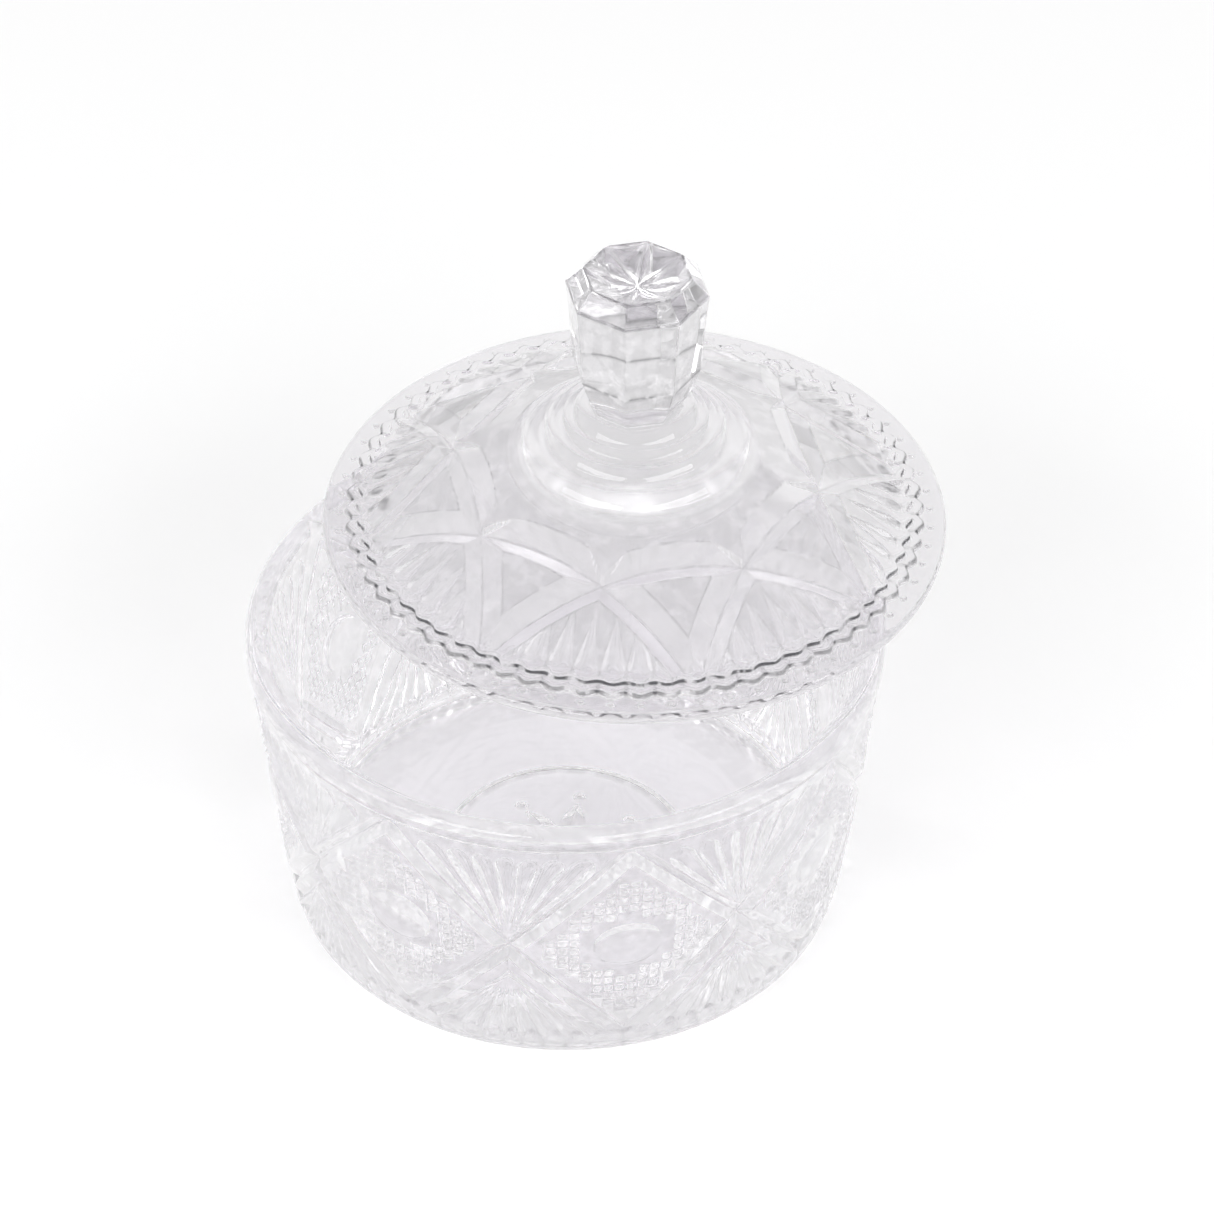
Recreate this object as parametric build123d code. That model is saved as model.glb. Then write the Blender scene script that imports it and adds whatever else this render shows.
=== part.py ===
from build123d import *
import os
from math import atan2, cos, pi, sin

# Powder jar in clear pressed glass: an open round jar and a lift-off lid with a faceted knob.
# Millimetres, +Z up. The origin is the centre of the jar's underside, the front is -Y.
# The lid lies flat on the rim, pushed back and to the right so that the jar stands half open.

# Driving dimensions
RIM_RADIUS = 52.0
BASE_RADIUS = 46.0
JAR_HEIGHT = 53.3
LIP_HEIGHT = 3.6
LIP_WIDTH = 3.8
LIP_STEP = 0.3
LIP_BEVEL = 0.6
FOOT_HEIGHT = 4.2
FOOT_CORNER = 0.8
FOOT_BEVEL = 0.4
WALL_BULGE = 0.5
FLOOR_THICKNESS = 4.6
FLOOR_CORNER = 9.0
FLOOR_CORNER_BEND = 9.45
WELL_FLOOR_RADIUS = 41.2
BASE_GROOVE_RADII = (19.2, 20.8)
BASE_GROOVE_DEPTH = 0.8

LID_RADIUS = 51.7
FLANGE_THICKNESS = 2.2
DOME_FOOT_RADIUS = 45.8
DOME_FOOT_HEIGHT = 3.4
STAR_RADIUS = 30.5
STAR_HEIGHT = 12.2
BOSS_RADIUS = 20.8
BOSS_HEIGHT = 15.8
SHELL_THICKNESS = 3.4
SHELL_OVERHANG = 1.0
HOLLOW_PEAK = 1.0
HOLLOW_MARGIN = 1.6
LID_CLEARANCE = 0.25
LID_SHIFT = (11.1, 25.2)

# (radius, height) of the boss's stepped rings, from the dome up to the foot of the knob
BOSS_STEPS = ((17.6, 17.2), (17.2, 19.2), (14.6, 20.0), (14.2, 21.6), (11.4, 22.2), (11.0, 23.2), (6.6, 23.8))

# (corner radius, height) of the knob's octagonal sections, from its foot up to its crown
KNOB_SECTIONS = ((6.6, 24.4), (8.6, 28.0), (10.6, 33.2), (11.1, 41.4), (11.75, 47.9), (8.8, 51.0))
KNOB_DIMPLE_RADIUS = 7.8
KNOB_DIMPLE_DEPTH = 2.6
KNOB_DIMPLE_TIP = 0.2

# The pressed pattern repeats eight times round both pieces, from this direction
REPEATS = 8
SECTOR = 360 / REPEATS
PATTERN_TURN = -100.0
CROSS_HEIGHT = 26.0
ARM_TOP = 46.8
ARM_FOOT = 5.4
GROOVE_WIDTH = 1.8
GROOVE_DEPTH = 0.9
GROOVE_REACH = 3
FAN_FLUTES = 7
FAN_SHARE = 0.8
FAN_TOP = 19.5
FLUTE_RADIUS = 1.2
FLUTE_TIP_RADIUS = 0.1
FLUTE_LIFT = 0.4
LID_FAN_START = 35.5
LID_FAN_MARGIN = 0.6
LID_GROOVE_MARGIN = 1.0


def at(radius, turn, height):
    """The point at this distance from the axis, direction in degrees and height."""
    angle = turn * pi / 180
    return Vector(radius * cos(angle), radius * sin(angle), height)


def wall_radius(height):
    """Outer radius of the jar's wall, which leans out and bulges a little."""
    share = height / JAR_HEIGHT
    return BASE_RADIUS + (RIM_RADIUS - BASE_RADIUS) * share + WALL_BULGE * 4 * share * (1 - share)


def dome_height(radius):
    """Height of the lid's dome above the underside of its flange."""
    if radius > STAR_RADIUS:
        share = (DOME_FOOT_RADIUS - radius) / (DOME_FOOT_RADIUS - STAR_RADIUS)
        return DOME_FOOT_HEIGHT + share * (STAR_HEIGHT - DOME_FOOT_HEIGHT)
    share = (STAR_RADIUS - radius) / (STAR_RADIUS - BOSS_RADIUS)
    return STAR_HEIGHT + share * (BOSS_HEIGHT - STAR_HEIGHT)


def v_groove(start, end, outward):
    """A wedge that cuts a V groove from start to end, its edge below the surface by the groove's depth."""
    along = end - start
    side = along.cross(outward).normalized()
    plane = Plane(origin=start, x_dir=side, z_dir=along.normalized())
    up = 1 if plane.y_dir.dot(outward) > 0 else -1
    half_width = GROOVE_REACH * GROOVE_WIDTH
    top = up * (GROOVE_REACH - 1) * GROOVE_DEPTH
    wedge = Polygon((0, -up * GROOVE_DEPTH), (half_width, top), (-half_width, top), align=None)
    return extrude(plane * wedge, along.length, dir=along)


def flute(start, end):
    """A cone that cuts a flute, narrow at its start and full at its end."""
    along = end - start
    upright = (Align.CENTER, Align.CENTER, Align.MIN)
    cone = Cone(FLUTE_TIP_RADIUS, FLUTE_RADIUS, along.length, align=upright)
    return Plane(origin=start, z_dir=along.normalized()) * cone


def fan_turns(turn):
    """Directions of a fan's flutes, in degrees, spread evenly about this one."""
    step = SECTOR * FAN_SHARE / FAN_FLUTES
    return [turn + (i - (FAN_FLUTES - 1) / 2) * step for i in range(FAN_FLUTES)]


def jar_blank():
    """The plain turned jar: foot band, leaning wall, rounded lip, well and floor."""
    lip_base = JAR_HEIGHT - LIP_HEIGHT
    lip_top = JAR_HEIGHT - LIP_WIDTH / 2
    under_lip = (wall_radius(lip_base) - LIP_STEP, lip_base)
    lip_edge = (RIM_RADIUS, lip_base + LIP_BEVEL)
    well_rim = (RIM_RADIUS - LIP_WIDTH, lip_top)
    corner_top = (WELL_FLOOR_RADIUS, FLOOR_THICKNESS + FLOOR_CORNER)
    corner_foot = (WELL_FLOOR_RADIUS - FLOOR_CORNER, FLOOR_THICKNESS)
    with BuildPart() as jar:
        with BuildSketch(Plane.XZ):
            with BuildLine():
                Polyline(
                    (0, FLOOR_THICKNESS),
                    (0, 0),
                    (BASE_RADIUS - FOOT_CORNER, 0),
                    (BASE_RADIUS, FOOT_CORNER),
                    (BASE_RADIUS, FOOT_HEIGHT - FOOT_BEVEL),
                    (wall_radius(FOOT_HEIGHT), FOOT_HEIGHT),
                )
                ThreePointArc(
                    (wall_radius(FOOT_HEIGHT), FOOT_HEIGHT),
                    (wall_radius(JAR_HEIGHT / 2), JAR_HEIGHT / 2),
                    under_lip,
                )
                Polyline(under_lip, lip_edge, (RIM_RADIUS, lip_top))
                ThreePointArc((RIM_RADIUS, lip_top), (RIM_RADIUS - LIP_WIDTH / 2, JAR_HEIGHT), well_rim)
                Line(well_rim, corner_top)
                RadiusArc(corner_top, corner_foot, FLOOR_CORNER_BEND)
                Line(corner_foot, (0, FLOOR_THICKNESS))
            make_face()
        revolve(axis=Axis.Z)
    inner, outer = BASE_GROOVE_RADII
    ring = Cylinder(outer, BASE_GROOVE_DEPTH * 2) - Cylinder(inner, BASE_GROOVE_DEPTH * 2)
    return jar.part - ring


def jar_pattern():
    """Cutters for the jar's wall: eight crossings of two V grooves, with a fan of flutes below each."""
    cutters = []
    for k in range(REPEATS):
        turn = PATTERN_TURN + k * SECTOR
        cross = at(wall_radius(CROSS_HEIGHT), turn, CROSS_HEIGHT)
        for side in (-1, 1):
            for tip_height in (ARM_TOP, ARM_FOOT):
                tip_turn = turn + side * SECTOR / 2
                tip = at(wall_radius(tip_height), tip_turn, tip_height)
                cutters.append(v_groove(cross, tip, at(1, turn + side * SECTOR / 4, 0)))
        apex = at(wall_radius(FAN_TOP) + FLUTE_LIFT, turn, FAN_TOP)
        for flute_turn in fan_turns(turn):
            foot = at(wall_radius(ARM_FOOT) + FLUTE_LIFT, flute_turn, ARM_FOOT)
            cutters.append(flute(apex, foot))
    return cutters


def main_solid(shape):
    """The shape's largest solid, without the crumbs that crossing cuts leave loose."""
    return max(shape.solids(), key=lambda solid: solid.volume)


def make_jar():
    """The finished jar, standing on the origin."""
    return main_solid(jar_blank() - jar_pattern())


def lid_blank():
    """The plain turned lid: flat flange, hollow dome and solid stepped boss, its flange on Z = 0."""
    tip = FLANGE_THICKNESS / 2
    rise = DOME_FOOT_HEIGHT - FLANGE_THICKNESS
    under_boss = (BOSS_RADIUS - SHELL_OVERHANG, BOSS_HEIGHT - SHELL_THICKNESS)
    under_star = (STAR_RADIUS - SHELL_OVERHANG, STAR_HEIGHT - SHELL_THICKNESS)
    with BuildPart() as lid:
        with BuildSketch(Plane.XZ):
            with BuildLine():
                Polyline(
                    (0, KNOB_SECTIONS[0][1]),
                    (0, under_boss[1] + HOLLOW_PEAK),
                    under_boss,
                    under_star,
                    (DOME_FOOT_RADIUS - HOLLOW_MARGIN, 0),
                    (LID_RADIUS - tip, 0),
                )
                ThreePointArc((LID_RADIUS - tip, 0), (LID_RADIUS, tip), (LID_RADIUS - tip, FLANGE_THICKNESS))
                Polyline(
                    (LID_RADIUS - tip, FLANGE_THICKNESS),
                    (DOME_FOOT_RADIUS + rise / 2, FLANGE_THICKNESS),
                    (DOME_FOOT_RADIUS, DOME_FOOT_HEIGHT),
                    (STAR_RADIUS, STAR_HEIGHT),
                    (BOSS_RADIUS, BOSS_HEIGHT),
                    *BOSS_STEPS,
                    KNOB_SECTIONS[0],
                    (0, KNOB_SECTIONS[0][1]),
                )
            make_face()
        revolve(axis=Axis.Z)
    return lid.part


def octagon(corner_radius, height):
    """A level octagon with one corner on the pattern's direction."""
    return Plane.XY.offset(height) * Rot(0, 0, PATTERN_TURN) * RegularPolygon(corner_radius, REPEATS)


def make_knob():
    """The solid octagonal knob, wider towards its crown, with a shallow eight-sided dimple on top."""
    sections = [octagon(*section) for section in KNOB_SECTIONS]
    knob = loft(sections[:2], ruled=True)
    for lower, upper in zip(sections[1:], sections[2:]):
        knob += loft([lower, upper], ruled=True)
    top = KNOB_SECTIONS[-1][1]
    tip = octagon(KNOB_DIMPLE_TIP, top - KNOB_DIMPLE_DEPTH)
    dimple = loft([tip, octagon(KNOB_DIMPLE_RADIUS, top)], ruled=True)
    return knob - dimple


def lid_pattern():
    """Cutters for the dome: a band of V grooves through eight star points, with flutes outward of each."""
    cutters = []
    lean = atan2(STAR_HEIGHT - DOME_FOOT_HEIGHT, DOME_FOOT_RADIUS - STAR_RADIUS)
    groove_end = DOME_FOOT_RADIUS - LID_GROOVE_MARGIN
    fan_end = DOME_FOOT_RADIUS - LID_FAN_MARGIN
    for k in range(REPEATS):
        turn = PATTERN_TURN + k * SECTOR
        star = at(STAR_RADIUS, turn, STAR_HEIGHT)
        following = at(STAR_RADIUS, turn + SECTOR, STAR_HEIGHT)
        cutters.append(v_groove(star, following, at(sin(lean), turn + SECTOR / 2, cos(lean))))
        for side in (-1, 1):
            foot = at(groove_end, turn + side * SECTOR / 2, dome_height(groove_end))
            cutters.append(v_groove(star, foot, at(sin(lean), turn, cos(lean))))
        apex = at(LID_FAN_START, turn, dome_height(LID_FAN_START) + FLUTE_LIFT)
        for flute_turn in fan_turns(turn):
            foot = at(fan_end, flute_turn, dome_height(fan_end) + FLUTE_LIFT)
            cutters.append(flute(apex, foot))
    return cutters


def make_lid():
    """The finished lid in its place on the rim."""
    lid = main_solid(lid_blank() - lid_pattern() + make_knob())
    return Pos(*LID_SHIFT, JAR_HEIGHT + LID_CLEARANCE) * lid


os.makedirs("parts", exist_ok=True)
export_step(make_jar(), "parts/jar.step")
export_step(make_lid(), "parts/lid.step")
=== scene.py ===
import math

import bpy
import numpy as np
from mathutils import Matrix, Vector


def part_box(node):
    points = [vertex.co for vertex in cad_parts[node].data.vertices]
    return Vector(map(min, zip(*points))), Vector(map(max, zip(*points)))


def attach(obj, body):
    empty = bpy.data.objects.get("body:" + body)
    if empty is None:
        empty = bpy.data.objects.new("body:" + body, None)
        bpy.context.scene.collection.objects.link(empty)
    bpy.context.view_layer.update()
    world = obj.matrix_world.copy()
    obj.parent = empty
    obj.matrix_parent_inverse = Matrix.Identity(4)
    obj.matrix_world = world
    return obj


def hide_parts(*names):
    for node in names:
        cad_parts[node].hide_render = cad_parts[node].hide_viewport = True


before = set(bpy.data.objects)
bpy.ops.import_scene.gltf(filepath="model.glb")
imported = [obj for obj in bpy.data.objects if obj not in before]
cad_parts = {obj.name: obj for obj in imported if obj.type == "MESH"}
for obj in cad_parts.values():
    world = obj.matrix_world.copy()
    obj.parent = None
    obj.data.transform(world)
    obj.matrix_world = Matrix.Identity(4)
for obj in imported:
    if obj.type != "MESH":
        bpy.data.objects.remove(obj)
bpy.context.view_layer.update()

# Powder jar in clear pressed glass. Each piece is one closed skin of rings about its own axis, from the
# middle of its underside to the middle of its top, with the pressed pattern in the place of its points.
# Shapes are in millimetres about the piece's own axis, and become metres when a mesh is made.
# Every point also carries two values for the glass: painted shade, a darker tint on faces and lines that
# stands in for the shade and dark refraction lines of glass, and haze on matt ones.

MM = 0.001
REPEATS = 8
SECTOR = 2 * math.pi / REPEATS
PATTERN_TURN = math.radians(-100.0)

jar_low, jar_high = (np.array(corner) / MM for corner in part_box("jar"))
lid_low, lid_high = (np.array(corner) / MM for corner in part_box("lid"))
RIM_RADIUS = min(*jar_high[:2], *-jar_low[:2])
JAR_HEIGHT = jar_high[2]
LID_RADIUS = (lid_high[0] - lid_low[0]) / 2
LID_AXIS = (lid_low + lid_high) / 2
LID_SEAT = lid_low[2]
KNOB_TOP = lid_high[2] - LID_SEAT

# Ring resolution: columns double from the axis outwards, so that they stay about this far apart
FINE_COLUMNS = 1280
HALF_COLUMNS = FINE_COLUMNS // 2
KNOB_COLUMNS = FINE_COLUMNS // 4
COARSE_COLUMNS = 40
COLUMN_SPACING = 0.3
ROW_SPACING = 0.27
FLANGE_SPACING = 0.15
PLAIN_SPACING = 0.6
KNOB_SPACING = 0.5

# Keeps a divisor above zero
TINY = 1e-6


# ---------------------------------------------------------------- shaping helpers

def ramp(value, low, high):
    """0 below low, 1 above high, and a smooth rise between."""
    share = np.clip((value - low) / (high - low), 0, 1)
    return share * share * (3 - 2 * share)


def near(distance, reach):
    """1 on a line, falling smoothly to 0 at this reach to each side of it."""
    return ramp(-np.abs(distance), -reach, 0)


def hump(share):
    """0 at 0 and at 1, and 1 half way between."""
    return 4 * share * (1 - share)


def half_round(square):
    """Height of a half circle, from the square of the place across it: 1 in the middle, 0 past its edge."""
    return np.sqrt(np.clip(1 - square, 0, 1))


def fold(angles):
    """Angle from the nearest pattern direction, the same on both sides of it."""
    return np.abs((angles + SECTOR / 2) % SECTOR - SECTOR / 2)


def groove(distance, half_width, depth):
    """Depth of a V groove at this distance from its middle line."""
    return depth * np.clip(1 - distance / half_width, 0, 1)


def column_angles(count):
    """Angles of a ring's columns, from the pattern direction."""
    return np.arange(count) * (2 * math.pi / count)


def columns_for(radius):
    """The fewest columns that keep a ring of this radius fine enough."""
    count = COARSE_COLUMNS
    while count < FINE_COLUMNS and 2 * math.pi * radius / count > COLUMN_SPACING:
        count *= 2
    return count


def spaced(start, end, spacing):
    """Even steps from start to end, both included."""
    count = max(2, int(math.ceil(abs(end - start) / spacing)) + 1)
    return np.linspace(start, end, count)


def ring(radius, height, count, painted_shade=0.0, haze=0.0):
    """One ring of points: rows of radius, height, painted shade and haze, each from a number or an array."""
    return np.stack([np.broadcast_to(row, count).astype(float) for row in (radius, height, painted_shade, haze)])


def between(first, second, lower, upper):
    """Faces between two rings whose points start at lower and upper; they match or one has twice as many."""
    if first == second:
        here = np.arange(first)
        after = (here + 1) % first
        return np.stack([lower + here, lower + after, upper + after, upper + here], axis=1).tolist()
    if first > second:
        swapped = between(second, first, upper, lower)
        return [face[::-1] for face in swapped]
    if first == 1:
        here = np.arange(second)
        return np.stack([np.full(second, lower), upper + (here + 1) % second, upper + here], axis=1).tolist()
    here = np.arange(first)
    after = (here + 1) % first
    left, middle, right = 2 * here, 2 * here + 1, (2 * here + 2) % second
    faces = [
        (lower + here, upper + middle, upper + left),
        (lower + here, lower + after, upper + middle),
        (lower + after, upper + right, upper + middle),
    ]
    return np.concatenate([np.stack(face, axis=1) for face in faces]).tolist()


def skin(name, rings, centre):
    """A closed mesh from rings of points, with a single point at each end, about an axis through centre."""
    points, faces, start = [], [], 0
    for k, (radii, heights, _, _) in enumerate(rings):
        angles = column_angles(len(radii)) + PATTERN_TURN
        points.append(np.stack([radii * np.cos(angles), radii * np.sin(angles), heights], axis=1))
        if k:
            before = rings[k - 1].shape[1]
            faces += between(before, len(radii), start - before, start)
        start += len(radii)
    places = (np.concatenate(points) + np.array(centre)) * MM
    mesh = bpy.data.meshes.new(name)
    mesh.from_pydata(places.tolist(), [], faces)
    mesh.update()
    mesh.polygons.foreach_set("use_smooth", np.ones(len(mesh.polygons), dtype=bool))
    # The painted shade and the haze go onto the mesh as values on its points.
    for row, label in ((2, "painted_shade"), (3, "haze")):
        values = np.concatenate([points_of_ring[row] for points_of_ring in rings])
        mesh.attributes.new(label, "FLOAT", "POINT").data.foreach_set("value", values)
    piece = bpy.data.objects.new(name, mesh)
    bpy.context.scene.collection.objects.link(piece)
    return piece


# ---------------------------------------------------------------- jar

BASE_RADIUS = 46.0
WALL_BULGE = 0.5
LIP_BASE = JAR_HEIGHT - 3.6
LIP_WIDTH = 3.8
LIP_BEVEL = 0.5
FLOOR_HEIGHT = 4.6
FLOOR_CORNER = 9.0
WELL_FLOOR_RADIUS = 41.2

# The wall's pattern is drawn on its unrolled surface: across from a crossing, up from the table
HALF_SPAN = 19.2
CROSS = 26.0
ARM_TOP = 48.4
ARM_FOOT = 4.4
ARM_WIDTH = 1.7
ARM_DEPTH = 1.35
PANEL_START = ARM_WIDTH - 0.2
PANEL_FULL = ARM_WIDTH + 0.3
FADE_START = ARM_TOP - 0.6
FADE_END = LIP_BASE - 0.2

# A diamond, between four arms
BEVEL = 3.6
BEVEL_DEPTH = 0.25
HOBNAIL = 1.92
HOBNAIL_TOP = 0.1
HOBNAIL_DEPTH = 0.95
FRAME_SIZE = (7.7, 7.5)
FRAME_POWER = 1.7
LENS_SIZE = (5.7, 4.9)
LENS_FILL = 0.92
RECESS = 0.85

# The leaves that spread upwards from a crossing
LEAF_APEX = 27.0
LEAF_ANGLE = math.radians(10.6)
LEAVES = 7
LEAF_END = 47.6
LEAF_TIP = 3.2
LEAF_DEPTH = 0.95
LEAF_RISE = (1.5, 9.0)

# The fan below a crossing, between a leaf at each side, and the chevron over them
FAN_APEX = 19.8
FAN_FOOT = 5.2
# Where the flutes of a lower fan meet the foot, as angles from its middle; the last ends the sector
FLUTE_EDGES = np.radians([1.9, 6.2, 10.7, 15.6, 22.5])
FLUTE_DEPTH = 0.9
FLUTE_RISE = (0.5, 7.0)
CHEVRON_DEPTH = 0.75
SIDE_LEAF_TOP = 10.5
SIDE_LEAF_SLOPE = 0.2
SIDE_LEAF_DEEPENING = 1.1

# The foot band, with a row of lobes along its top
FOOT_TOP = 4.2
FOOT_INSET = 0.35
FOOT_CORNER = 0.8
LOBE_SINK = 0.9
LOBE_RISE = 1.5
LOBE_BULGE = 0.55
LOBE_BULGE_RISE = (1.0, 2.6)

# The underside's ring groove and its rosette
RING_RADIUS = 20.0
RING_WIDTH = 1.1
RING_DEPTH = 0.8
UNDERSIDE_MARGIN = 1.4
PETAL_START = 2.0
PETAL_LENGTH = 9.4
PETAL_WIDTH = 2.3
PETAL_TIP = 0.05
PETAL_DEPTH = 0.8
DOT_PLACE = 13.2
DOT_RADIUS = 1.0
DOT_DEPTH = 0.6

WELL_HAZE = 0.5
# Painted shade on the jar, as shares of the dark colour: a little over all its walls, more where the wall's
# pattern and the underside are cut deeper, and painted dark lines along the lobes' top edges, between the
# lobes and round the lip.
WALL_SHADE = 0.085
WALL_DARK = 0.16
LOBE_EDGE_DARK = 0.3
LOBE_EDGE_WIDTH = 0.45
LOBE_GAP_DARK = 0.2
LOBE_GAP_START = 0.7
UNDERSIDE_DARK = 0.25
LIP_DARK = 0.1
LIP_LINE_DARK = 0.3
LIP_LINE_TURN = math.radians(155)
LIP_LINE_WIDTH = 0.25

BEVEL_ROWS = 5
LIP_ROWS = 25
WELL_ROWS = 40
WELL_START = 0.02
CORNER_ROWS = 16
CORNER_START = 0.05


def wall_radius(height):
    """Outer radius of the jar's wall, which leans out and bulges a little."""
    share = height / JAR_HEIGHT
    return BASE_RADIUS + (RIM_RADIUS - BASE_RADIUS) * share + WALL_BULGE * hump(share)


def across_flute(angle):
    """Place across a flute of the lower fan, 0 at its middle and 1 at its edges."""
    edges = np.concatenate([[-FLUTE_EDGES[0]], FLUTE_EDGES])
    index = np.clip(np.searchsorted(edges, angle) - 1, 0, len(edges) - 2)
    low, high = edges[index], edges[index + 1]
    return np.abs((angle - low) / (high - low) * 2 - 1)


def diamond_depth(x, z, inside):
    """Depth inside a diamond: smooth bevel, hobnails, and a lens in a sunk frame at its middle."""
    dx, dz = x - HALF_SPAN, z - CROSS
    cell_x = (np.floor(dx / HOBNAIL) + 0.5) * HOBNAIL
    cell_z = (np.floor(dz / HOBNAIL) + 0.5) * HOBNAIL
    off_centre = np.maximum(np.abs(dx - cell_x), np.abs(dz - cell_z)) / (HOBNAIL / 2)
    hobnails = HOBNAIL_TOP + HOBNAIL_DEPTH * off_centre
    run = HALF_SPAN - np.abs(cell_x)
    arm_rise = np.where(cell_z > 0, ARM_TOP - CROSS, CROSS - ARM_FOOT)
    cell_inside = (run * arm_rise - np.abs(cell_z) * HALF_SPAN) / np.hypot(HALF_SPAN, arm_rise)
    frame_x, frame_z = np.abs(cell_x) / FRAME_SIZE[0], np.abs(cell_z) / FRAME_SIZE[1]
    in_frame = frame_x ** FRAME_POWER + frame_z ** FRAME_POWER < 1
    lens_place = (dx / LENS_SIZE[0]) ** 2 + (dz / LENS_SIZE[1]) ** 2
    lens = RECESS * (1 - LENS_FILL * half_round(lens_place))
    bevel = BEVEL_DEPTH * np.clip((inside - ARM_WIDTH) / (BEVEL - ARM_WIDTH), 0, 1)
    return np.where(in_frame, lens, np.where(cell_inside > BEVEL, hobnails, bevel))


def leaf_depth(x, z):
    """Depth of the long round-ended leaves that spread upwards from a crossing."""
    angle = np.arctan2(x, np.maximum(z - LEAF_APEX, TINY))
    index = np.clip(np.round(angle / LEAF_ANGLE), 0, LEAVES // 2)
    across = (angle - index * LEAF_ANGLE) / (LEAF_ANGLE / 2)
    along = np.hypot(x, z - LEAF_APEX)
    end = (LEAF_END - LEAF_APEX) / np.cos(index * LEAF_ANGLE)
    tip = np.clip((along - end + LEAF_TIP) / LEAF_TIP, 0, None)
    return LEAF_DEPTH * half_round(across ** 2 + tip ** 2) * ramp(along, *LEAF_RISE)


def fan_depth(x, z, below):
    """Depth under a crossing: a ridged chevron, a fan of narrow flutes and a broad leaf at each side."""
    drop = np.maximum(FAN_APEX - z, TINY)
    reach = FAN_APEX - FAN_FOOT
    foot_angle = np.minimum(x * reach / drop / BASE_RADIUS, FLUTE_EDGES[-1])
    edge = FLUTE_EDGES[-2] * BASE_RADIUS
    past_edge = (x * reach - drop * edge) / math.hypot(reach, edge)
    flutes = FLUTE_DEPTH * (1 - across_flute(foot_angle) ** 2) * ramp(drop, *FLUTE_RISE)
    past_arm = below - ARM_WIDTH
    chevron = CHEVRON_DEPTH * np.clip(past_arm / np.maximum(past_arm + past_edge, TINY), 0, 1)
    in_leaf = (past_edge > 0) & (z < SIDE_LEAF_TOP - SIDE_LEAF_SLOPE * x)
    in_fan = (past_edge <= 0) & (z < FAN_APEX)
    return np.where(in_fan, flutes, np.where(in_leaf, flutes * SIDE_LEAF_DEEPENING, chevron))


def wall_depth(offset, height):
    """Depth of the pressed pattern below the wall's outer surface."""
    x = offset / (SECTOR / 2) * HALF_SPAN
    z = np.full_like(x, height)
    rise, drop = ARM_TOP - CROSS, CROSS - ARM_FOOT
    above = ((z - CROSS) * HALF_SPAN - x * rise) / math.hypot(HALF_SPAN, rise)
    below = ((CROSS - z) * HALF_SPAN - x * drop) / math.hypot(HALF_SPAN, drop)
    from_arm = np.minimum(np.abs(above), np.abs(below))
    diamond = diamond_depth(x, z, np.minimum(-above, -below))
    panel = np.where(above > 0, leaf_depth(x, z), np.where(below > 0, fan_depth(x, z, below), diamond))
    panel = panel * ramp(from_arm, PANEL_START, PANEL_FULL)
    fade = 1 - ramp(z, FADE_START, FADE_END)
    return np.maximum(groove(from_arm, ARM_WIDTH, ARM_DEPTH), panel) * fade


def foot_shape(offset, height):
    """Radius of the foot band, and the height of its top edge, a row of round lobes under the flutes."""
    across = half_round(across_flute(offset) ** 2)
    lobe_top = FOOT_TOP - LOBE_SINK + LOBE_RISE * across
    bulge = LOBE_BULGE * across * ramp(height, *LOBE_BULGE_RISE)
    corner = FOOT_CORNER * (1 - half_round(max(0.0, 1 - height / FOOT_CORNER) ** 2))
    return BASE_RADIUS - FOOT_INSET + bulge - corner, lobe_top


def outer_row(offset, height):
    """Radius and painted shade of the jar's outside at this height, from the table up to the lip."""
    depth = wall_depth(offset, height)
    foot, lobe_top = foot_shape(offset, height)
    in_foot = height < lobe_top
    # Painted shade: a dark line along the lobes' top edges, darker gaps between the lobes, and darker the
    # deeper the wall's pattern is cut.
    lobe_edge = LOBE_EDGE_DARK * near(height - lobe_top, LOBE_EDGE_WIDTH)
    gap = LOBE_GAP_DARK * ramp(across_flute(offset), LOBE_GAP_START, 1) * in_foot
    cut = WALL_DARK * np.clip(depth / ARM_DEPTH, 0, 1)
    painted_shade = WALL_SHADE + np.where(in_foot, 0, cut) + np.maximum(lobe_edge, gap)
    return np.where(in_foot, foot, wall_radius(height) - depth), painted_shade


def underside_height(offset, radius):
    """Height of the underside: a ring groove and an eight-petal rosette with a dot past each petal."""
    ring_cut = groove(abs(radius - RING_RADIUS), RING_WIDTH, RING_DEPTH)
    along, across = radius * np.cos(offset), radius * np.sin(offset)
    petal_share = np.clip((along - PETAL_START) / PETAL_LENGTH, 0, 1)
    petal_width = np.maximum(PETAL_WIDTH * np.sin(petal_share * math.pi), PETAL_TIP)
    in_petal = (petal_share > 0) & (petal_share < 1)
    petals = groove(across, petal_width, PETAL_DEPTH) * in_petal
    dots = DOT_DEPTH * half_round(((along - DOT_PLACE) ** 2 + across ** 2) / DOT_RADIUS ** 2)
    return ring_cut + np.maximum(petals, dots)


def underside_rings():
    """The jar's rings from the middle of its underside out to its foot."""
    rings = [ring(0, 0, 1)]
    for radius in spaced(PLAIN_SPACING, BASE_RADIUS - UNDERSIDE_MARGIN, COLUMN_SPACING):
        count = columns_for(radius)
        height = underside_height(fold(column_angles(count)), radius)
        # Painted shade, darker the deeper the underside is cut.
        rings.append(ring(radius, height, count, UNDERSIDE_DARK * height / PETAL_DEPTH))
    return rings


def outside_rings():
    """The jar's rings up its outside, from the table to the lip."""
    offsets = fold(column_angles(FINE_COLUMNS))
    rings = []
    for height in spaced(0, LIP_BASE, ROW_SPACING):
        radius, painted_shade = outer_row(offsets, height)
        rings.append(ring(radius, height, FINE_COLUMNS, painted_shade))
    return rings


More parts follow.
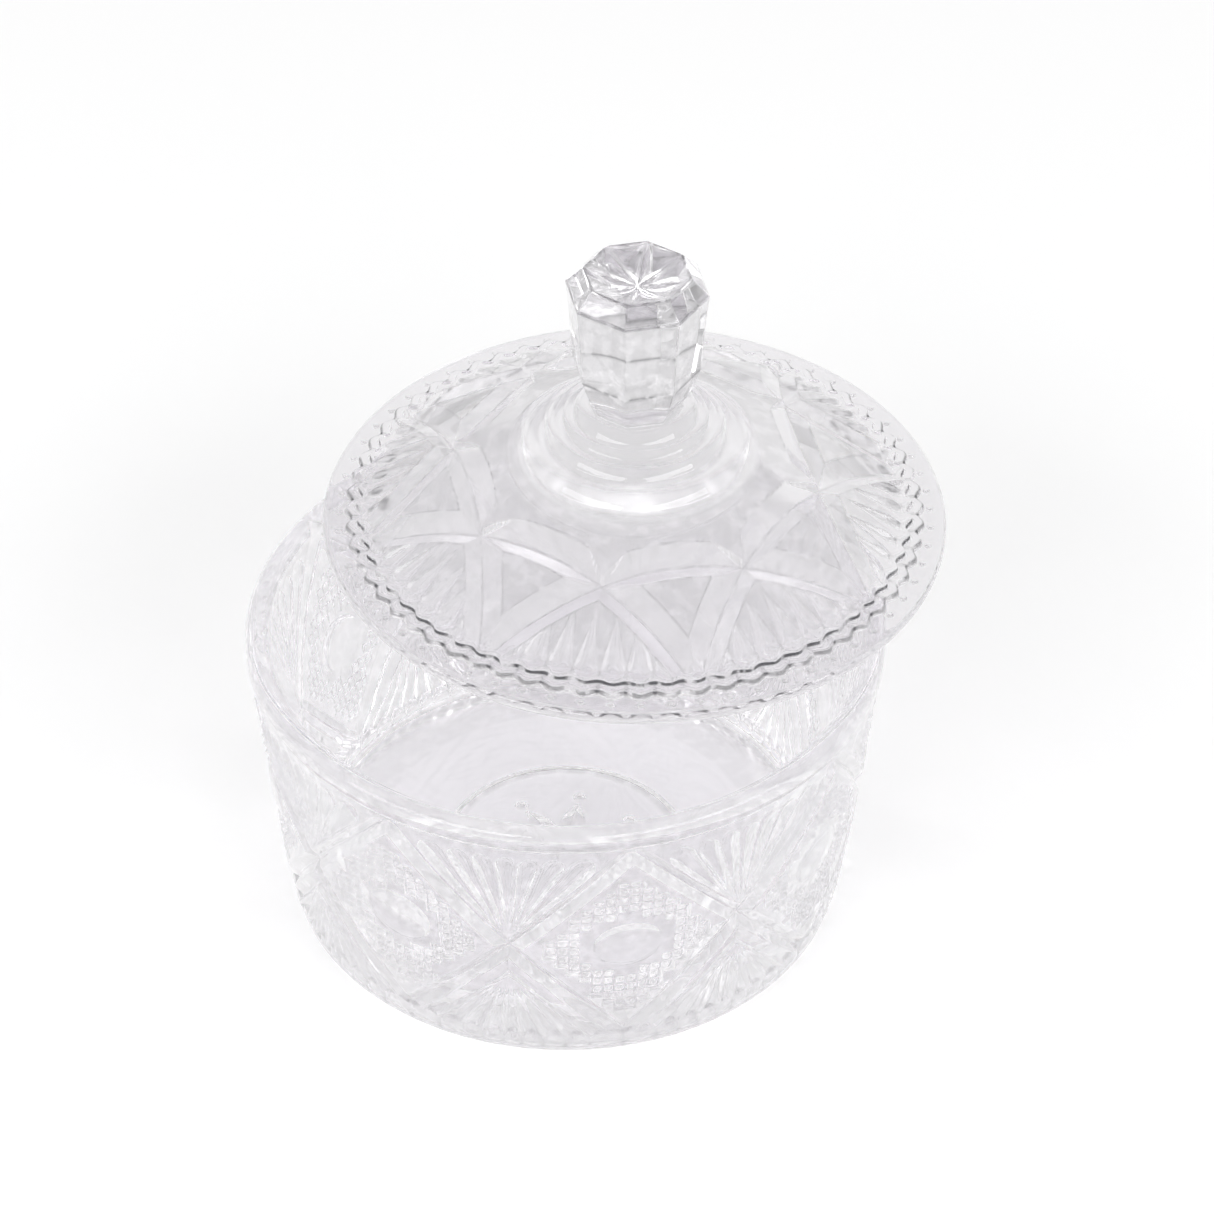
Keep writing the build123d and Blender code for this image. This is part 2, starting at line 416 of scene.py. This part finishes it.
def lip_rings():
    """The jar's rings out under the lip and round over it."""
    lip = LIP_WIDTH / 2
    under_lip = wall_radius(LIP_BASE)
    rings = []
    # Painted shade: a painted dark line over the bevel under the lip and another near the top of its round,
    # and a lighter painted shade over the whole round.
    for share in np.linspace(0, 1, BEVEL_ROWS):
        radius = under_lip + (RIM_RADIUS - under_lip) * share
        rings.append(ring(radius, LIP_BASE + LIP_BEVEL * share, FINE_COLUMNS, LIP_LINE_DARK))
    for turn in np.linspace(0, math.pi, LIP_ROWS):
        radius = RIM_RADIUS - lip + lip * math.cos(turn)
        height = JAR_HEIGHT - lip + lip * math.sin(turn)
        painted_shade = LIP_DARK + LIP_LINE_DARK * near(turn - LIP_LINE_TURN, LIP_LINE_WIDTH)
        rings.append(ring(radius, height, FINE_COLUMNS, painted_shade))
    return rings


def well_rings():
    """The jar's rings down inside its well, round the floor's corner and in to the middle of the floor."""
    top_radius, top_height = RIM_RADIUS - LIP_WIDTH, JAR_HEIGHT - LIP_WIDTH / 2
    corner_height = FLOOR_HEIGHT + FLOOR_CORNER
    rings = []
    for share in np.linspace(WELL_START, 1, WELL_ROWS):
        radius = top_radius + (WELL_FLOOR_RADIUS - top_radius) * share
        height = top_height + (corner_height - top_height) * share
        # The well's wall and corner get the walls' even painted shade.
        rings.append(ring(radius, height, HALF_COLUMNS, WALL_SHADE, WELL_HAZE))
    for turn in np.linspace(CORNER_START, math.pi / 2, CORNER_ROWS):
        radius = WELL_FLOOR_RADIUS - FLOOR_CORNER * (1 - math.cos(turn))
        height = corner_height - FLOOR_CORNER * math.sin(turn)
        rings.append(ring(radius, height, HALF_COLUMNS, WALL_SHADE, WELL_HAZE))
    floor_radius = WELL_FLOOR_RADIUS - FLOOR_CORNER
    for radius in spaced(floor_radius - PLAIN_SPACING, PLAIN_SPACING, PLAIN_SPACING):
        rings.append(ring(radius, FLOOR_HEIGHT, min(HALF_COLUMNS, columns_for(radius))))
    rings.append(ring(0, FLOOR_HEIGHT, 1))
    return rings


# ---------------------------------------------------------------- lid

# The hollow underneath, and the flat flange round it
SHELL = 3.4
SHELL_SHIFT = 1.0
HOLLOW_TOP = 13.4
HOLLOW_SAG = 0.9
HOLLOW_INNER = 19.8
HOLLOW_MARGIN = 1.6
HOLLOW_POWER = 6
FLANGE_THICKNESS = 2.2
FLANGE_UNDER_START = 1.2
FLANGE_UNDER_SPACING = 0.7
EDGE_ROWS = 18

# The beads and the two scalloped steps on the flange
SCALLOPS = 64
SCALLOP_SWING = 0.5
SCALLOP_FADE = 3.0
BEAD_RING = 49.0
BEAD_RADIUS = 0.6
BEAD_HEIGHT = 0.45
TIER_RADIUS = 47.5
TIER_HEIGHT = 2.9
TIER_GAP = 0.1
SWING_START = 0.9
LOBE_HEIGHT = 0.4
STEP_RADIUS = 45.6
STEP_TOP = 4.1
STEP_GAP = 0.12
STEP_CORNER = 0.3
STEP_ROWS = 14
STEP_START = 0.08

# The dome, its crossing bands and its fans of flutes
STAR_RADIUS = 30.5
STAR_HEIGHT = 12.2
STAR_WEDGE = math.tan(math.radians(30))
DOME_MARGIN = 0.5
RELIEF_FADE = (0.4, 1.6)
ARC_CENTRE = 131.6
ARC_RADIUS = 104.0
BAND_INNER = 3.3
BAND_OUTER = 2.8
BAND_DEPTH = 1.5
LID_FLUTE_DEPTH = 1.0
FAN_START = 35.0
FAN_REACH = 8.5
FAN_TIP = 1e-3

# The stepped boss and the knob
BOSS_RADIUS = 20.8
BOSS_FOOT = 16.0
BOSS_ROWS = 12
SHOULDER_ROUND = 0.35
# (outer radius, inner radius, low, high) of the boss's rounded steps
BOSS_STEPS = (
    (18.8, 16.2, 17.0, 19.4),
    (14.9, 13.2, 20.0, 21.7),
    (12.0, 10.4, 22.1, 23.3),
    (10.0, 7.9, 23.6, 25.3),
)
# (corner radius, height) of the knob's octagonal sections, from its foot up to its crown
KNOB = ((7.5, 25.6), (8.9, 28.2), (10.6, 33.2), (11.1, 41.4), (11.75, 47.9), (8.8, KNOB_TOP))
CROWN_ROWS = 40
CROWN_END = 0.06
DIMPLE_DEPTH = 2.6
STAR_SCOOP = 1.0

# Painted shade on the lid's faces and painted dark lines, and how far each line reaches across its own face
BEAD_DARK = 0.3
BEAD_LINE = 0.8
BEAD_LINE_WIDTH = 0.5
TIER_DARK = 0.8
TIER_LINE = (0.4, 0.75)
LOBE_DARK = 0.4
LOBE_LINE = (0.38, 0.5)
STEP_DARK = 1.0
STEP_LINE = 0.4
STEP_LINE_WAVE = 0.12
STEP_LINE_WIDTH = 0.3
STEP_LINE_CORE = 0.14
PLAIN_DARK = 0.18
PLAIN_EDGE = 0.04
PLAIN_FLUTE = 0.3
LINE_DARK = 0.45
LINE_CREST = 0.92
LINE_WIDTH = 0.06
RIDGE_DARK = 0.14
RIDGE_PLACE = 0.95
RIDGE_WIDTH = 0.18
RIDGE_START = 0.02
BOSS_DARK = 0.03
KNOB_DARK = 0.2
EDGE_DARK = 0.7
CORNER_SHARE = 0.12
CORNER_WIDTH = 0.07
# (height, weight) of the level edges of the knob that get painted dark lines
KNOB_LINES = ((28.2, 0.4), (33.2, 0.9), (41.4, 0.1), (47.9, 0.5))
KNOB_LINE_WIDTH = 0.7
CROWN_LINE = 0.93
RIB_WIDTH = 0.14
SCOOP_SHARE = 0.5
SCOOP_LINE = (0.3, 0.9)


def dome_height(radius):
    """Height of the plain dome: a smooth curve through its foot, its star points and the boss."""
    foot, star, boss = (STEP_RADIUS, STEP_TOP), (STAR_RADIUS, STAR_HEIGHT), (BOSS_RADIUS, BOSS_FOOT)
    total = 0
    for here, first, second in ((foot, star, boss), (star, foot, boss), (boss, foot, star)):
        share = (radius - first[0]) * (radius - second[0])
        total = total + here[1] * share / ((here[0] - first[0]) * (here[0] - second[0]))
    return total


def arc_distance(x, y, turn):
    """How far a point lies inside the band arc centred in this direction; below 0 it lies outside."""
    centre_x, centre_y = ARC_CENTRE * math.sin(turn), ARC_CENTRE * math.cos(turn)
    return np.hypot(x - centre_x, y - centre_y) - ARC_RADIUS


def across_band(distance):
    """Place across a band: 1 on its middle line and 0 at its edges, with the wider facet inside."""
    return np.where(distance > 0, 1 - distance / BAND_INNER, 1 + distance / BAND_OUTER)


def across_scallop(offset):
    """Place across a scallop: 0 in its middle, and half at each of the gaps beside it."""
    return (offset * SCALLOPS / (2 * math.pi) + 0.5) % 1 - 0.5


def dome_relief(offset, radius):
    """Depth and painted shade of the dome: arcs that cross at eight star points, and a fan outward of each.
    """
    x, y = radius * np.sin(offset), radius * np.cos(offset)
    own = arc_distance(x, y, SECTOR / 2)
    crossing = arc_distance(x, y, -SECTOR / 2)
    neighbour = arc_distance(x, y, SECTOR * 1.5)
    band = np.maximum(np.maximum(across_band(own), across_band(crossing)), across_band(neighbour))
    in_wedge = x < (STAR_RADIUS - y) * STAR_WEDGE
    band = np.where(in_wedge, -1, band)
    around = np.abs(across_scallop(offset)) * 2
    in_fan = np.maximum(own, crossing) < -BAND_OUTER
    width = np.clip((radius - FAN_START) / FAN_REACH, FAN_TIP, 1)
    flutes = LID_FLUTE_DEPTH * width * np.clip(1 - (around / width) ** 2, 0, 1) * in_fan
    # Painted shade: darker on the plain dome off the bands and flutes, with painted dark lines on the bands'
    # middles and edges and along the flutes' edges.
    off_band = 1 - ramp(band, -PLAIN_EDGE, PLAIN_EDGE)
    plain = PLAIN_DARK * off_band * (1 - ramp(flutes, 0, PLAIN_FLUTE * LID_FLUTE_DEPTH))
    lines = LINE_DARK * (ramp(band, LINE_CREST, 1) + near(band, LINE_WIDTH))
    in_ridges = (width > RIDGE_START) * in_fan
    ridges = RIDGE_DARK * near(around - RIDGE_PLACE * width, RIDGE_WIDTH) * in_ridges
    return np.maximum(BAND_DEPTH * np.clip(band, 0, 1), flutes), plain + np.maximum(lines, ridges)


def hollow_rings():
    """The lid's rings from the middle of its hollow out to the flange's underside."""
    rings = [ring(0, HOLLOW_TOP, 1)]
    for radius in spaced(PLAIN_SPACING, HOLLOW_INNER, PLAIN_SPACING):
        sag = HOLLOW_SAG * (radius / HOLLOW_INNER) ** 2
        rings.append(ring(radius, HOLLOW_TOP - sag, min(HALF_COLUMNS, columns_for(radius)), haze=1))
    hollow_outer = STEP_RADIUS - HOLLOW_MARGIN
    for radius in spaced(BOSS_RADIUS - PLAIN_SPACING, hollow_outer, PLAIN_SPACING):
        share = np.interp(radius, [HOLLOW_INNER, hollow_outer], [0, 1])
        top = dome_height(radius + SHELL_SHIFT) - SHELL
        rings.append(ring(radius, top * (1 - share ** HOLLOW_POWER), HALF_COLUMNS, haze=1))
    return rings


def edge_rings():
    """The lid's rings out under the flange and round its edge."""
    half_thickness = FLANGE_THICKNESS / 2
    middle = LID_RADIUS - half_thickness
    rings = []
    for radius in spaced(STEP_RADIUS - FLANGE_UNDER_START, middle, FLANGE_UNDER_SPACING):
        rings.append(ring(radius, 0, FINE_COLUMNS))
    for turn in np.linspace(-math.pi / 2, math.pi / 2, EDGE_ROWS)[1:]:
        height = half_thickness * (1 + math.sin(turn))
        rings.append(ring(middle + half_thickness * math.cos(turn), height, FINE_COLUMNS))
    return rings


def flange_rings():
    """The lid's rings in over the flange: a plain edge, a ring of beads and two scalloped steps."""
    offsets = fold(column_angles(FINE_COLUMNS))
    wave = np.cos(offsets * SCALLOPS)
    around = across_scallop(offsets)
    sideways = around * 2 * math.pi * BEAD_RING / SCALLOPS
    rings = []
    outer = LID_RADIUS - FLANGE_THICKNESS / 2 - FLANGE_SPACING
    for radius in spaced(outer, TIER_RADIUS + TIER_GAP, FLANGE_SPACING):
        swing = SCALLOP_SWING * wave * ramp(-radius, -TIER_RADIUS - SWING_START, -TIER_RADIUS - TIER_GAP)
        place = radius + swing
        from_bead = ((place - BEAD_RING) ** 2 + sideways ** 2) / BEAD_RADIUS ** 2
        height = FLANGE_THICKNESS + BEAD_HEIGHT * half_round(from_bead)
        # Painted shade: a dark line round each bead.
        painted_shade = BEAD_DARK * near(from_bead - BEAD_LINE, BEAD_LINE_WIDTH)
        rings.append(ring(place, height, FINE_COLUMNS, painted_shade))
    swing = SCALLOP_SWING * wave
    lobe = LOBE_HEIGHT * half_round((2 * around) ** 2)
    tier_inner = STEP_RADIUS + STEP_GAP
    for radius in spaced(TIER_RADIUS, tier_inner, FLANGE_SPACING):
        across = (radius - (TIER_RADIUS + tier_inner) / 2) / ((TIER_RADIUS - tier_inner) / 2)
        # Painted shade: a dark line along the tier's outer edge and at the gaps between its lobes.
        painted_shade = TIER_DARK * ramp(across, *TIER_LINE) + LOBE_DARK * ramp(np.abs(around), *LOBE_LINE)
        rings.append(ring(radius + swing, TIER_HEIGHT + lobe * half_round(across ** 2), FINE_COLUMNS, painted_shade))
    for share in np.linspace(STEP_START, 1, STEP_ROWS):
        turn = share * math.pi / 2
        radius = STEP_RADIUS - STEP_CORNER * (1 - math.cos(turn))
        height = TIER_HEIGHT + (STEP_TOP - TIER_HEIGHT) * math.sin(turn)
        # Painted shade: a dark wavy line across the step's face.
        from_line = np.abs(share - STEP_LINE - STEP_LINE_WAVE * wave)
        painted_shade = STEP_DARK * ramp(-from_line, -STEP_LINE_WIDTH, -STEP_LINE_CORE)
        rings.append(ring(radius + swing, height, FINE_COLUMNS, painted_shade))
    return rings


def dome_rings():
    """The lid's rings in over the dome, from its scalloped foot to the boss."""
    offsets = fold(column_angles(FINE_COLUMNS))
    wave = np.cos(offsets * SCALLOPS)
    outer = STEP_RADIUS - DOME_MARGIN
    rings = []
    for radius in spaced(outer, BOSS_RADIUS, ROW_SPACING):
        place = radius + SCALLOP_SWING * wave * ramp(radius, STEP_RADIUS - SCALLOP_FADE, outer)
        depth, painted_shade = dome_relief(offsets, place)
        relief = ramp(-radius, -STEP_RADIUS + RELIEF_FADE[0], -STEP_RADIUS + RELIEF_FADE[1])
        rings.append(ring(place, dome_height(radius) - depth * relief, FINE_COLUMNS, painted_shade))
    return rings


def boss_rings():
    """The lid's plain rings up the boss: each step is a round shoulder above a flat tread."""
    rings = []
    for outer, inner, low, high in BOSS_STEPS:
        for share in np.linspace(0, 1, BOSS_ROWS):
            turn = share * math.pi / 2
            inwards = SHOULDER_ROUND * (1 - math.cos(turn)) + (1 - SHOULDER_ROUND) * share
            upwards = SHOULDER_ROUND * math.sin(turn) + (1 - SHOULDER_ROUND) * share
            radius = outer - (outer - inner) * inwards
            # An even, light painted shade over the boss.
            rings.append(ring(radius, low + (high - low) * upwards, HALF_COLUMNS, BOSS_DARK))
    return rings


def octagon_radius(corner, offset):
    """Radius of an octagon with its corners on the pattern directions."""
    return corner * math.cos(SECTOR / 2) / np.cos(SECTOR / 2 - offset)


def knob_rings():
    """The lid's octagonal rings up the knob to its crown."""
    offsets = fold(column_angles(KNOB_COLUMNS))
    corner_line = CORNER_SHARE * near(offsets, CORNER_WIDTH)
    rings = []
    for (low_corner, low), (high_corner, high) in zip(KNOB, KNOB[1:]):
        for share in spaced(0, 1, KNOB_SPACING / (high - low))[:-1]:
            corner = low_corner + (high_corner - low_corner) * share
            height = low + (high - low) * share
            edges = sum(weight * near(height - place, KNOB_LINE_WIDTH) for place, weight in KNOB_LINES)
            # Painted shade over the whole knob, with painted dark lines at its corners and level edges.
            painted_shade = KNOB_DARK + EDGE_DARK * np.maximum(edges, corner_line)
            rings.append(ring(octagon_radius(corner, offsets), height, KNOB_COLUMNS, painted_shade))
    return rings


def crown_rings():
    """The lid's rings in over the knob's crown, down to the middle of its eight-rayed dimple."""
    crown = KNOB[-1][0]
    rings = []
    for share in np.linspace(1, CROWN_END, CROWN_ROWS):
        count = min(KNOB_COLUMNS, columns_for(crown * share))
        offsets = fold(column_angles(count))
        off_rib = offsets / (SECTOR / 2)
        scoop = STAR_SCOOP * hump(share) * half_round((1 - off_rib) ** 2)
        height = KNOB_TOP - DIMPLE_DEPTH * (1 - share) - scoop
        rib_line = near(off_rib, RIB_WIDTH) * (1 - share)
        scoop_line = SCOOP_SHARE * ramp(off_rib, *SCOOP_LINE) * hump(share)
        lines = np.maximum(ramp(share, CROWN_LINE, 1), np.maximum(rib_line, scoop_line))
        # Painted shade over the crown, with painted dark lines round its rim, along its ribs and in its
        # scoops.
        painted_shade = KNOB_DARK + EDGE_DARK * lines
        rings.append(ring(octagon_radius(crown * share, offsets), height, count, painted_shade))
    rings.append(ring(0, KNOB_TOP - DIMPLE_DEPTH, 1, KNOB_DARK))
    return rings


# ---------------------------------------------------------------- glass

JAR_TINT = (0.974, 0.967, 0.980)
LID_TINT = (0.885, 0.875, 0.892)
# The near black colour that painted shade mixes the tint towards.
PAINTED_SHADE_TINT = (0.015, 0.015, 0.018)
GLASS_IOR = 1.5
HAZE_ROUGHNESS = 0.16
POLISH_ROUGHNESS = 0.05
POLISH_SCALE = 60
POLISH_DETAIL = 4
WAVE_SCALE = 160
WAVE_DETAIL = 2
WAVE_STRENGTH = 0.12
WAVE_DISTANCE = 0.0004
# The painted dark lines are broken up by noise of this scale, which counts from 0 to 1 over this range
BREAK_SCALE = 420
BREAK_RANGE = (0.36, 0.5)


def add_node(nodes, kind, values):
    """A new shader node with these values on its inputs."""
    node = nodes.new(kind)
    for label, value in values.items():
        node.inputs[label].default_value = value
    return node


def glass(name, tint, seed):
    """Clear pressed glass: faintly tinted, with painted shade that darkens its sharp steps and lines, hazy
    where the mould was matt.
    """
    material = bpy.data.materials.new(name)
    material.use_nodes = True
    nodes, links = material.node_tree.nodes, material.node_tree.links
    shader = nodes["Principled BSDF"]
    shader.inputs["Transmission Weight"].default_value = 1.0
    shader.inputs["IOR"].default_value = GLASS_IOR
    place = nodes.new("ShaderNodeTexCoord")

    waves = nodes.new("ShaderNodeTexNoise")
    waves.noise_dimensions = "4D"
    waves.inputs["W"].default_value = seed
    waves.inputs["Scale"].default_value = WAVE_SCALE
    waves.inputs["Detail"].default_value = WAVE_DETAIL
    bump = add_node(nodes, "ShaderNodeBump", {"Strength": WAVE_STRENGTH, "Distance": WAVE_DISTANCE})
    links.new(place.outputs["Object"], waves.inputs["Vector"])
    links.new(waves.outputs["Fac"], bump.inputs["Height"])
    links.new(bump.outputs["Normal"], shader.inputs["Normal"])

    polish = add_node(nodes, "ShaderNodeTexNoise", {"Scale": POLISH_SCALE, "Detail": POLISH_DETAIL})
    spread = add_node(nodes, "ShaderNodeMapRange", {"To Min": 0.0, "To Max": POLISH_ROUGHNESS})
    haze = nodes.new("ShaderNodeAttribute")
    haze.attribute_name = "haze"
    rough = nodes.new("ShaderNodeMath")
    rough.operation = "MULTIPLY_ADD"
    rough.inputs[1].default_value = HAZE_ROUGHNESS
    links.new(place.outputs["Object"], polish.inputs["Vector"])
    links.new(polish.outputs["Fac"], spread.inputs["Value"])
    links.new(haze.outputs["Fac"], rough.inputs[0])
    links.new(spread.outputs["Result"], rough.inputs[2])
    links.new(rough.outputs["Value"], shader.inputs["Roughness"])

    # Painted shade: the point values mix the tint towards the dark colour.
    painted_shade = nodes.new("ShaderNodeAttribute")
    painted_shade.attribute_name = "painted_shade"
    patchy = add_node(nodes, "ShaderNodeTexNoise", {"Scale": BREAK_SCALE})
    broken = add_node(nodes, "ShaderNodeMapRange", {"From Min": BREAK_RANGE[0], "From Max": BREAK_RANGE[1]})
    amount = nodes.new("ShaderNodeMath")
    amount.operation = "MULTIPLY"
    amount.use_clamp = True
    colour = nodes.new("ShaderNodeMix")
    colour.data_type = "RGBA"
    colour.inputs["A"].default_value = (*tint, 1)
    colour.inputs["B"].default_value = (*PAINTED_SHADE_TINT, 1)
    links.new(place.outputs["Object"], patchy.inputs["Vector"])
    links.new(patchy.outputs["Fac"], broken.inputs["Value"])
    links.new(painted_shade.outputs["Fac"], amount.inputs[0])
    links.new(broken.outputs["Result"], amount.inputs[1])
    links.new(amount.outputs["Value"], colour.inputs["Factor"])
    links.new(colour.outputs["Result"], shader.inputs["Base Color"])
    return material


jar_rings = underside_rings() + outside_rings() + lip_rings() + well_rings()
lid_rings = hollow_rings() + edge_rings() + flange_rings() + dome_rings() + boss_rings() + knob_rings()
lid_rings += crown_rings()
jar = skin("jar_glass_body", jar_rings, (0, 0, 0))
lid = skin("lid_glass_body", lid_rings, (LID_AXIS[0], LID_AXIS[1], LID_SEAT))
for piece, body, slot, tint, seed in (
    (jar, "jar", "jar_glass", JAR_TINT, 1.0),
    (lid, "lid", "lid_glass", LID_TINT, 5.0),
):
    piece.data.materials.append(glass(slot, tint, seed))
    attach(piece, body)
    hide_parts(body)


# ---------------------------------------------------------------- studio

FLOOR_REACH = 3.0
FLOOR_DROP = 0.0002
FLOOR_COLOUR = (0.93, 0.93, 0.93, 1)
FLOOR_ROUGHNESS = 0.9

# The room's brightness by height above the horizon, as (sine of the height, brightness)
ROOM = ((0.0, 0.62), (0.08, 0.62), (0.15, 1.0), (1.0, 1.0))
ROOM_STRENGTH = 0.82

# The two softboxes: degrees to each side of the front and above the horizon, then metres and watts
BOX_SIDE = 45.0
BOX_RISE = 36.0
BOX_DISTANCE = 1.3
BOX_SIZE = (1.3, 0.4)
BOX_POWER = 5.6

# Where the jar's base centre lies from the camera, in rim radii: right, down and ahead
CAMERA_OFFSET = (-0.1356, 0.8229, 16.285)
CAMERA_ELEVATION = math.radians(40.1)
CAMERA_ROLL = math.radians(0.49)
CAMERA_LENS = 148.4
CAMERA_SENSOR = 36

# Enough for light to find its way out of the jar's foot
LIGHT_BOUNCES = 48


def make_floor():
    """A plain pale floor, wide enough to fill every view."""
    mesh = bpy.data.meshes.new("floor")
    corners = [(x * FLOOR_REACH, y * FLOOR_REACH, 0) for x, y in ((-1, -1), (1, -1), (1, 1), (-1, 1))]
    mesh.from_pydata(corners, [], [(0, 1, 2, 3)])
    floor = bpy.data.objects.new("floor", mesh)
    floor.location.z = -FLOOR_DROP
    bpy.context.scene.collection.objects.link(floor)
    material = bpy.data.materials.new("floor")
    material.use_nodes = True
    shader = material.node_tree.nodes["Principled BSDF"]
    shader.inputs["Base Color"].default_value = FLOOR_COLOUR
    shader.inputs["Roughness"].default_value = FLOOR_ROUGHNESS
    shader.inputs["Specular IOR Level"].default_value = 0.0
    mesh.materials.append(material)


def make_world():
    """A pale room, dimmer near the horizon, with a plain white backdrop."""
    world = bpy.data.worlds.new("studio")
    bpy.context.scene.world = world
    world.use_nodes = True
    nodes, links = world.node_tree.nodes, world.node_tree.links
    room = nodes["Background"]
    room.inputs["Strength"].default_value = ROOM_STRENGTH
    place = nodes.new("ShaderNodeTexCoord")
    axes = nodes.new("ShaderNodeSeparateXYZ")
    shade = nodes.new("ShaderNodeValToRGB")
    while len(shade.color_ramp.elements) < len(ROOM):
        shade.color_ramp.elements.new(0.5)
    for element, (height, brightness) in zip(shade.color_ramp.elements, ROOM):
        element.position = height
        element.color = (brightness, brightness, brightness, 1)
    backdrop = add_node(nodes, "ShaderNodeBackground", {"Color": (1, 1, 1, 1)})
    path = nodes.new("ShaderNodeLightPath")
    either = nodes.new("ShaderNodeMixShader")
    links.new(place.outputs["Generated"], axes.inputs["Vector"])
    links.new(axes.outputs["Z"], shade.inputs["Fac"])
    links.new(shade.outputs["Color"], room.inputs["Color"])
    links.new(path.outputs["Is Camera Ray"], either.inputs["Fac"])
    links.new(room.outputs["Background"], either.inputs[1])
    links.new(backdrop.outputs["Background"], either.inputs[2])
    links.new(either.outputs["Shader"], nodes["World Output"].inputs["Surface"])


def make_softbox(name, side):
    """A wide softbox in front, aimed at the jar."""
    data = bpy.data.lights.new(name, "AREA")
    data.shape = "RECTANGLE"
    data.size, data.size_y = BOX_SIZE
    data.energy = BOX_POWER
    light = bpy.data.objects.new(name, data)
    turn, rise = math.radians(side), math.radians(BOX_RISE)
    away = Vector((math.cos(rise) * math.sin(turn), -math.cos(rise) * math.cos(turn), math.sin(rise)))
    light.location = away * BOX_DISTANCE
    light.rotation_euler = away.to_track_quat("Z", "Y").to_euler()
    bpy.context.scene.collection.objects.link(light)


def make_camera():
    """A long lens in front of the jar, looking down at it."""
    data = bpy.data.cameras.new("camera")
    data.lens = CAMERA_LENS
    data.sensor_width = CAMERA_SENSOR
    camera = bpy.data.objects.new("camera", data)
    up = Vector((0, math.sin(CAMERA_ELEVATION), math.cos(CAMERA_ELEVATION)))
    ahead = Vector((0, math.cos(CAMERA_ELEVATION), -math.sin(CAMERA_ELEVATION)))
    level_right, level_down = Vector((1, 0, 0)), -up
    cosine, sine = math.cos(CAMERA_ROLL), math.sin(CAMERA_ROLL)
    right = cosine * level_right - sine * level_down
    down = sine * level_right + cosine * level_down
    offset = [value * RIM_RADIUS * MM for value in CAMERA_OFFSET]
    place = -(right * offset[0] + down * offset[1] + ahead * offset[2])
    turned = Matrix((right, -down, -ahead)).transposed().to_4x4()
    camera.matrix_world = Matrix.Translation(place) @ turned
    bpy.context.scene.collection.objects.link(camera)
    bpy.context.scene.camera = camera


make_floor()
make_world()
make_softbox("softbox_left", -BOX_SIDE)
make_softbox("softbox_right", BOX_SIDE)
make_camera()

scene = bpy.context.scene
scene.view_settings.view_transform = "Standard"
scene.cycles.max_bounces = LIGHT_BOUNCES
scene.cycles.transmission_bounces = LIGHT_BOUNCES
scene.cycles.glossy_bounces = LIGHT_BOUNCES
scene.cycles.blur_glossy = 0
scene.cycles.caustics_refractive = True
scene.cycles.caustics_reflective = True
